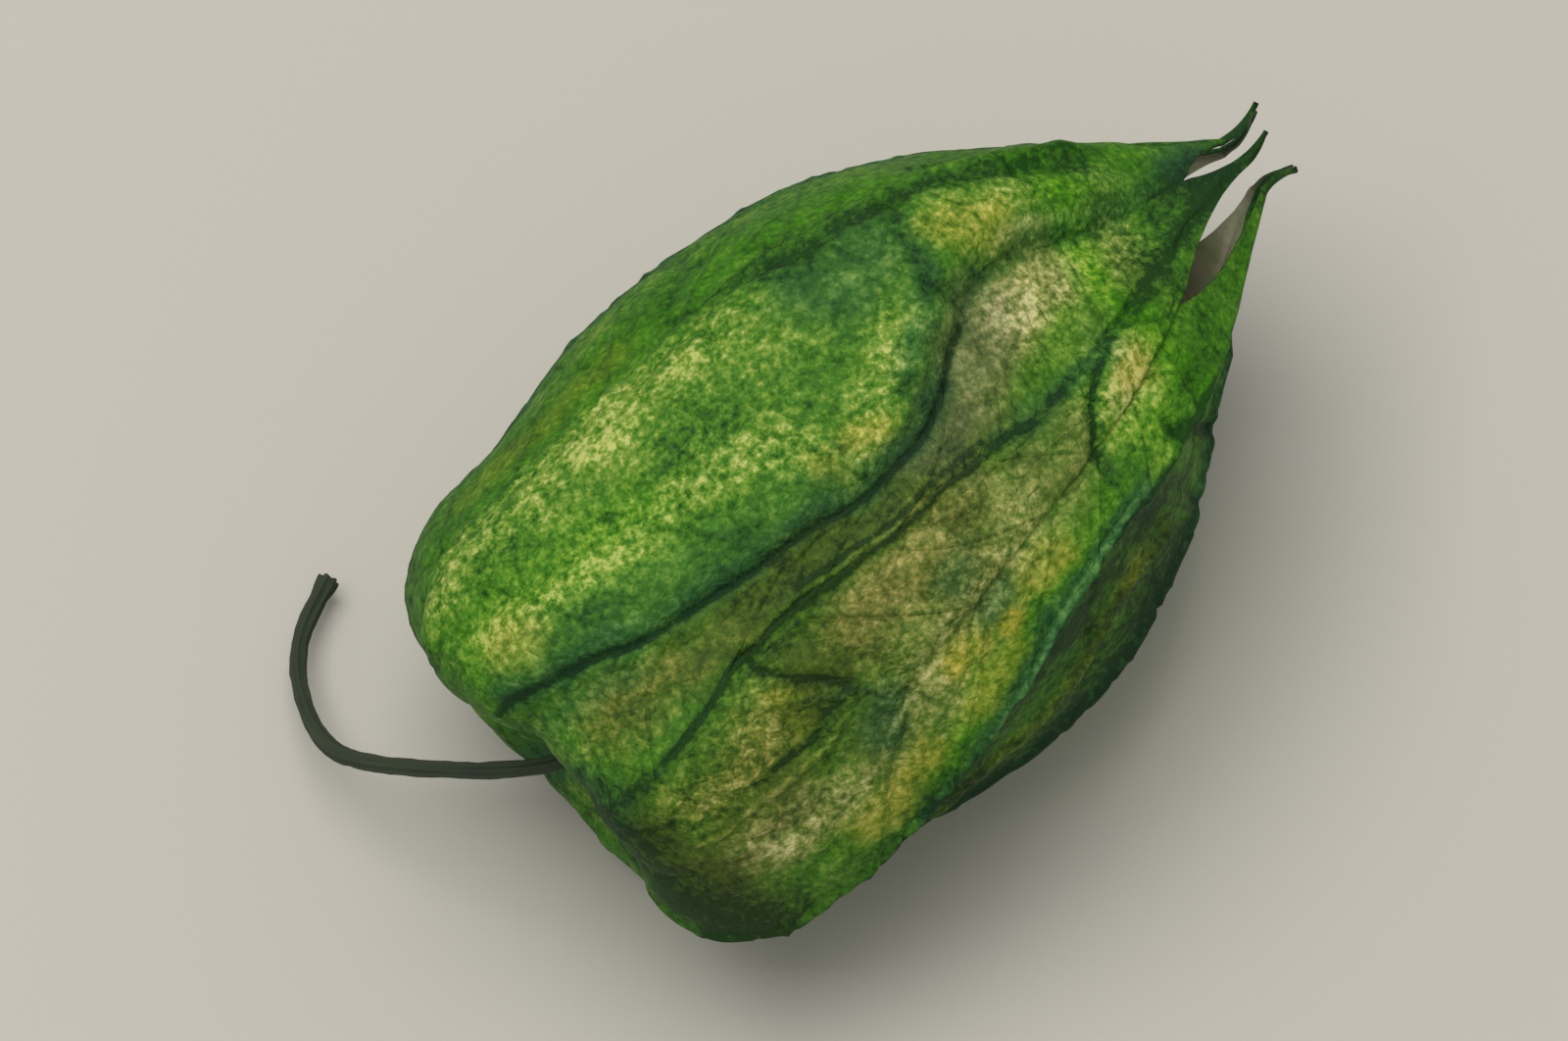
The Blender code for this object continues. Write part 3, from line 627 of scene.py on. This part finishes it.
# Thin dark lines of painted shade along creases and the shaded sides of ridges, and thin painted highlights
# along ridge crests
dark_line_shade = 1 - paper.attribute("line").rise(0.05, 0.36)
raised = 1 - paper.attribute("pale_line").rise(0.05, 0.34)
shade = shade + dark_line_shade * (0.10 + 0.62 * patches_of_dye) - 0.30 * raised


def dye_bath(*colours):
    """The colours of one dye from thin to thick, along the shade."""
    stops = tuple(zip((0.05, 0.32, 0.60, 1.0), colours))
    return paper.node("ShaderNodeValToRGB", {"stops": stops}, {0: shade}).outputs[0]


uneven = 0.55 + 0.9 * patches_of_dye
colour = dye_bath((0.50, 0.54, 0.17), (0.20, 0.32, 0.042), (0.060, 0.195, 0.012), (0.011, 0.050, 0.007))
for amount, bath in (
        (tan, ((0.64, 0.60, 0.31), (0.35, 0.345, 0.115), (0.13, 0.17, 0.034), (0.018, 0.045, 0.008))),
        (brown, ((0.38, 0.35, 0.10), (0.19, 0.19, 0.034), (0.075, 0.105, 0.012), (0.016, 0.034, 0.005))),
        (grey, ((0.46, 0.43, 0.29), (0.28, 0.27, 0.15), (0.12, 0.15, 0.062), (0.03, 0.05, 0.02))),
        (bright, ((0.28, 0.46, 0.025), (0.110, 0.32, 0.005), (0.045, 0.190, 0.002), (0.009, 0.060, 0.002))),
        (yellow, ((0.64, 0.55, 0.13), (0.42, 0.38, 0.048), (0.19, 0.24, 0.015), (0.03, 0.07, 0.006))),
        (deep, ((0.16, 0.33, 0.12), (0.056, 0.19, 0.062), (0.017, 0.085, 0.028), (0.005, 0.030, 0.012)))):
    colour = paper.mix(amount * uneven, colour, dye_bath(*bath))
relief = 0.5 * rib_line + 0.4 * side_line + 0.35 * net_line + 0.2 * fine_line + 0.6 * grain
paper_finish = paper.surface(
    Base_Color=colour, Roughness=0.62, Specular_IOR_Level=0.15, Normal=paper.bump(relief, 0.12 * MM))

# The inner face took little dye, and is dark only where the awns roll in
inside = Finish("pale_husk_inside")
inside_shade = inside.noise(4 * MM, 4.0, 0.6)
inside_ramp = inside.node("ShaderNodeValToRGB", {"stops": (
    (0.3, (0.68, 0.66, 0.50)), (0.5, (0.54, 0.55, 0.36)), (0.75, (0.30, 0.37, 0.15)))}, {0: inside_shade})
at_awns = inside.panel_places()[1].rise(0.94, 1.02)
inside_colour = inside.mix(at_awns, inside_ramp.outputs[0], (0.045, 0.065, 0.018, 1.0))
inside_finish = inside.surface(Base_Color=inside_colour, Roughness=0.7,
                               Normal=inside.bump(inside.noise(0.5 * MM), 0.08 * MM))

husk = bpy.data.objects.new("papery_husk", sheet_mesh("papery_husk", patches))
bpy.context.scene.collection.objects.link(husk)
wall = husk.modifiers.new("wall", "SOLIDIFY")
wall.thickness = PAPER
wall.offset = -1.0
wall.material_offset = 1
husk.data.materials.append(paper_finish)
husk.data.materials.append(inside_finish)
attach(husk, "root")
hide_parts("husk")

# The stem is a thin dry stalk with furrows along it. It widens inside the husk into the seat of the berry,
# comes out at the shoulders, and droops beside the husk. Geometry Nodes sweeps it along its path.
STEM_PATH = np.array((  # from the berry's seat, in the husk's own directions
    (4.9, 0, 0), (3.2, 0, 0), (0.6, 0.5, -0.2), (-2.6, 3.4, -1.3), (-6.2, 8.9, -4.6), (-7.3, 12.4, -7.0),
    (-6.4, 16.4, -9.0), (-4.2, 19.6, -10.4), (-0.6, 21.6, -11.2),
)) * MM
STEM_RADIUS = 0.45 * MM
SEAT_RADIUS = 1.15 * MM
SEAT_LENGTH = 2.6 * MM
COLLAR_AT = 2.3 * MM  # the swelling that fills the husk's hole
COLLAR_SWELL = 0.62 * MM
COLLAR_HALF_LENGTH = 2.0 * MM
END_SWELL = 0.12 * MM
END_LENGTH = 1.5 * MM
STEM_POINTS = 200


def geometry_tree(name, sizes):
    """An empty tree with a named input for each size."""
    tree = bpy.data.node_groups.new(name, "GeometryNodeTree")
    tree.interface.new_socket("Geometry", in_out="INPUT", socket_type="NodeSocketGeometry")
    tree.interface.new_socket("Geometry", in_out="OUTPUT", socket_type="NodeSocketGeometry")
    for size, value in sizes.items():
        kind = "NodeSocketInt" if isinstance(value, int) else "NodeSocketFloat"
        tree.interface.new_socket(size, in_out="INPUT", socket_type=kind)
    return tree, tree.nodes.new("NodeGroupInput").outputs


def step(tree, kind, settings=(), inputs=()):
    """A node of a tree with its settings, then the values or links of its sockets. Gives its outputs."""
    node = tree.nodes.new(kind)
    for key, value in dict(settings).items():
        setattr(node, key, value)
    for key, value in dict(inputs).items():
        if isinstance(value, bpy.types.NodeSocket):
            tree.links.new(value, node.inputs[key])
        else:
            node.inputs[key].default_value = value
    return node.outputs


def finish_tree(tree, geometry, material):
    """Ends a tree in plain geometry with its material."""
    real = step(tree, "GeometryNodeRealizeInstances", {}, {0: geometry})
    done = step(tree, "GeometryNodeSetMaterial", {}, {0: real[0], "Material": material})
    tree.links.new(done[0], tree.nodes.new("NodeGroupOutput").inputs[0])


def grown(name, source, tree, sizes):
    """The plain mesh that a tree makes of an object with these sizes."""
    modifier = source.modifiers.new("grow", "NODES")
    modifier.node_group = tree
    for item in tree.interface.items_tree:
        if item.name in sizes:
            modifier[item.identifier] = sizes[item.name]
    mesh = bpy.data.meshes.new_from_object(source.evaluated_get(bpy.context.evaluated_depsgraph_get()))
    source.modifiers.remove(modifier)
    bpy.data.objects.remove(source)
    thing = bpy.data.objects.new(name, mesh)
    bpy.context.scene.collection.objects.link(thing)
    mesh.shade_smooth()
    return thing


def stem_line():
    """The stem's middle line, wider at the seat."""
    line = bpy.data.curves.new("stem_line", "CURVE")
    line.dimensions = "3D"
    spline = line.splines.new("POLY")
    spline.points.add(STEM_POINTS - 1)
    path = smooth(STEM_PATH, np.arange(STEM_POINTS) / (STEM_POINTS - 1))
    travelled = np.append(0, np.cumsum(np.linalg.norm(np.diff(path, axis=0), axis=-1)))
    seat = np.maximum(0, 1 - travelled / SEAT_LENGTH) ** 0.8
    collar = COLLAR_SWELL * ridge(travelled - COLLAR_AT, COLLAR_HALF_LENGTH)
    end_knob = END_SWELL * ridge(travelled[-1] - travelled, END_LENGTH)
    radii = STEM_RADIUS + (SEAT_RADIUS - STEM_RADIUS) * seat + collar + end_knob
    for point, here, radius in zip(spline.points, path, radii):
        point.co = (*(HUSK_TURN @ Vector(here) + SHOULDERS), 1.0)
        point.radius = radius / STEM_RADIUS
    thing = bpy.data.objects.new("stem_line", line)
    bpy.context.scene.collection.objects.link(thing)
    return thing


stem_sizes = {
    "Radius": STEM_RADIUS, "Sides": 40, "Furrows": 6, "Furrow depth": 0.07 * MM, "Unevenness": 0.06 * MM,
}
tree, sizes = geometry_tree("stem_sweep", stem_sizes)
ring = step(tree, "GeometryNodeCurvePrimitiveCircle", {}, {
    "Resolution": sizes["Sides"], "Radius": sizes["Radius"]})
ring = step(tree, "GeometryNodeStoreNamedAttribute", {"data_type": "FLOAT", "domain": "POINT"}, {
    "Geometry": ring["Curve"], "Name": "around",
    "Value": step(tree, "GeometryNodeSplineParameter")["Factor"]})
run = step(tree, "GeometryNodeStoreNamedAttribute", {"data_type": "FLOAT", "domain": "POINT"}, {
    "Geometry": tree.nodes["Group Input"].outputs["Geometry"], "Name": "along",
    "Value": step(tree, "GeometryNodeSplineParameter")["Length"]})
tube = step(tree, "GeometryNodeCurveToMesh", {}, {
    "Curve": run[0], "Profile Curve": ring[0], "Fill Caps": True,
    "Scale": step(tree, "GeometryNodeInputRadius")[0]})
turns = step(tree, "ShaderNodeMath", {"operation": "MULTIPLY"}, {
    0: step(tree, "GeometryNodeInputNamedAttribute", {}, {"Name": "around"})[0], 1: sizes["Furrows"]})
angle = step(tree, "ShaderNodeMath", {"operation": "MULTIPLY"}, {0: turns[0], 1: 2 * math.pi})
wave = step(tree, "ShaderNodeMath", {"operation": "SINE"}, {0: angle[0]})
furrow = step(tree, "ShaderNodeMath", {"operation": "MULTIPLY"}, {0: wave[0], 1: sizes["Furrow depth"]})
lumps = step(tree, "ShaderNodeTexNoise", {"normalize": False}, {"Scale": 1 / (1.4 * MM), "Detail": 3.0})
lump = step(tree, "ShaderNodeMath", {"operation": "MULTIPLY"}, {0: lumps[0], 1: sizes["Unevenness"]})
rise = step(tree, "ShaderNodeMath", {"operation": "ADD"}, {0: furrow[0], 1: lump[0]})
push = step(tree, "ShaderNodeVectorMath", {"operation": "SCALE"}, {
    0: step(tree, "GeometryNodeInputNormal")[0], "Scale": rise[0]})
bent = step(tree, "GeometryNodeSetPosition", {}, {"Geometry": tube[0], "Offset": push[0]})

bark = Finish("dry_stem_bark")
round_stem = bark.attribute("around")
streak_at = bark.node("ShaderNodeCombineXYZ", {}, {
    0: round_stem * 9.0, 1: bark.attribute("along") * 260.0, 2: 0.0}).outputs[0]
streaks = bark.noise(1.0, 3.0, 0.6, streak_at)
blotches = bark.noise(2.2 * MM, 3.0, 0.5)
bark_ramp = bark.node("ShaderNodeValToRGB", {"stops": (
    (0.0, (0.085, 0.095, 0.040)), (0.45, (0.030, 0.048, 0.022)), (1.0, (0.006, 0.012, 0.007)))},
    {0: 0.15 + 0.6 * streaks + 0.35 * blotches})
bark_finish = bark.surface(
    Base_Color=bark_ramp.outputs[0], Roughness=0.75, Normal=bark.bump(streaks, 0.05 * MM))
finish_tree(tree, bent[0], bark_finish)
stem = grown("dry_stem", stem_line(), tree, stem_sizes)
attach(stem, "root")
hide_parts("stem")

# The berry inside is dried too: its amber skin has shrunk over the flesh and wrinkled.
BERRY_RADIUS = 6.2 * MM
BERRY_LENGTH_SHARE = 0.92
BERRY_GAP = 0.35 * MM
BERRY_WRINKLES = ((0.30 * MM, 3.2 * MM), (0.12 * MM, 1.3 * MM), (0.05 * MM, 0.6 * MM))
BERRY_CREASES = (0.10 * MM, 1.9 * MM, 0.10)
BERRY_END_SUNK = 0.10  # how far its two ends have sunk in, as a share of its radius

berry_work = bmesh.new()
bmesh.ops.create_uvsphere(berry_work, u_segments=200, v_segments=120, radius=BERRY_RADIUS)
berry_middle = STEM_PATH[0][0] + BERRY_GAP + BERRY_RADIUS * BERRY_LENGTH_SHARE
for vert in berry_work.verts:
    way = vert.co.normalized()
    shrunk = BERRY_RADIUS * (1 - BERRY_END_SUNK * abs(way.z) ** 12)
    shrunk += sum(depth * noise.noise(vert.co / size) for depth, size in BERRY_WRINKLES)
    depth, size, sharpness = BERRY_CREASES
    shrunk -= depth * max(0.0, 1 - abs(noise.noise(vert.co / size)) / sharpness)
    beyond = berry_middle - way.z * shrunk * BERRY_LENGTH_SHARE
    vert.co = HUSK_TURN @ Vector((beyond, way.y * shrunk, way.x * shrunk)) + SHOULDERS
berry_mesh = bpy.data.meshes.new("dried_berry")
berry_work.to_mesh(berry_mesh)
berry_work.free()
berry_mesh.shade_smooth()
skin = Finish("amber_berry_skin")
sun = skin.noise(3.0 * MM, 4.0, 0.6)
freckles = skin.noise(0.4 * MM, 2.0, 0.5)
skin_ramp = skin.node("ShaderNodeValToRGB", {"stops": (
    (0.0, (0.30, 0.13, 0.02)), (0.5, (0.16, 0.062, 0.012)), (1.0, (0.05, 0.018, 0.006)))},
    {0: 0.75 * sun + 0.25 * freckles})
berry_mesh.materials.append(skin.surface(
    Base_Color=skin_ramp.outputs[0], Roughness=0.42, Normal=skin.bump(freckles, 0.04 * MM)))
berry = bpy.data.objects.new("dried_berry", berry_mesh)
bpy.context.scene.collection.objects.link(berry)
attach(berry, "root")
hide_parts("berry")

# The floor is a plain pale card.
floor_mesh = bpy.data.meshes.new("floor")
floor_mesh.from_pydata([(-2, -2, 0), (2, -2, 0), (2, 2, 0), (-2, 2, 0)], [], [(0, 1, 2, 3)])
floor = bpy.data.objects.new("floor", floor_mesh)
bpy.context.scene.collection.objects.link(floor)
card = Finish("pale_card")
floor_mesh.materials.append(card.surface(Base_Color=(0.54, 0.52, 0.48, 1), Roughness=0.8))

# The camera looks down on the husk from the photograph's angle, and soft light comes from the upper left.
BACK = Vector((-0.2136, -0.3421, 0.915)).normalized()
ACROSS = Vector((0.7411, -0.6714, 0.0))
FOCUS = Vector((-4.7, -0.2, 15.5)) * MM
DISTANCE = 0.842
VIEW_WIDTH = 86 * MM
RIGHT = (ACROSS - ACROSS.dot(BACK) * BACK).normalized()
UP = BACK.cross(RIGHT)


def aim(thing, place, back, right):
    """Stands a camera or a light at a place, with its back that way."""
    turn = Matrix((right, back.cross(right), back)).transposed().to_4x4()
    thing.matrix_world = Matrix.Translation(place) @ turn
    bpy.context.scene.collection.objects.link(thing)


def soft_light(name, towards, distance, size, power, colour):
    """A square soft light above the husk, that way from it."""
    light = bpy.data.lights.new(name, "AREA")
    light.size = size
    light.energy = power
    light.color = colour
    back = towards.normalized()
    right = back.orthogonal().normalized()
    aim(bpy.data.objects.new(name, light), FOCUS + back * distance, back, right)


lens = bpy.data.cameras.new("camera")
lens.sensor_width = 36
lens.lens = 36 * DISTANCE / VIEW_WIDTH
lens.clip_end = 10
camera = bpy.data.objects.new("camera", lens)
aim(camera, FOCUS + BACK * DISTANCE, BACK, RIGHT)
bpy.context.scene.camera = camera
bpy.context.scene.view_settings.view_transform = "Standard"
soft_light("key", towards=-0.25 * RIGHT + 0.5 * UP + BACK, distance=0.6, size=0.45, power=2.6,
           colour=(1.0, 0.97, 0.92))
world = bpy.data.worlds.new("studio")
world.use_nodes = True
world.node_tree.nodes["Background"].inputs["Color"].default_value = (1.0, 1.0, 0.95, 1)
world.node_tree.nodes["Background"].inputs["Strength"].default_value = 0.45
bpy.context.scene.world = world
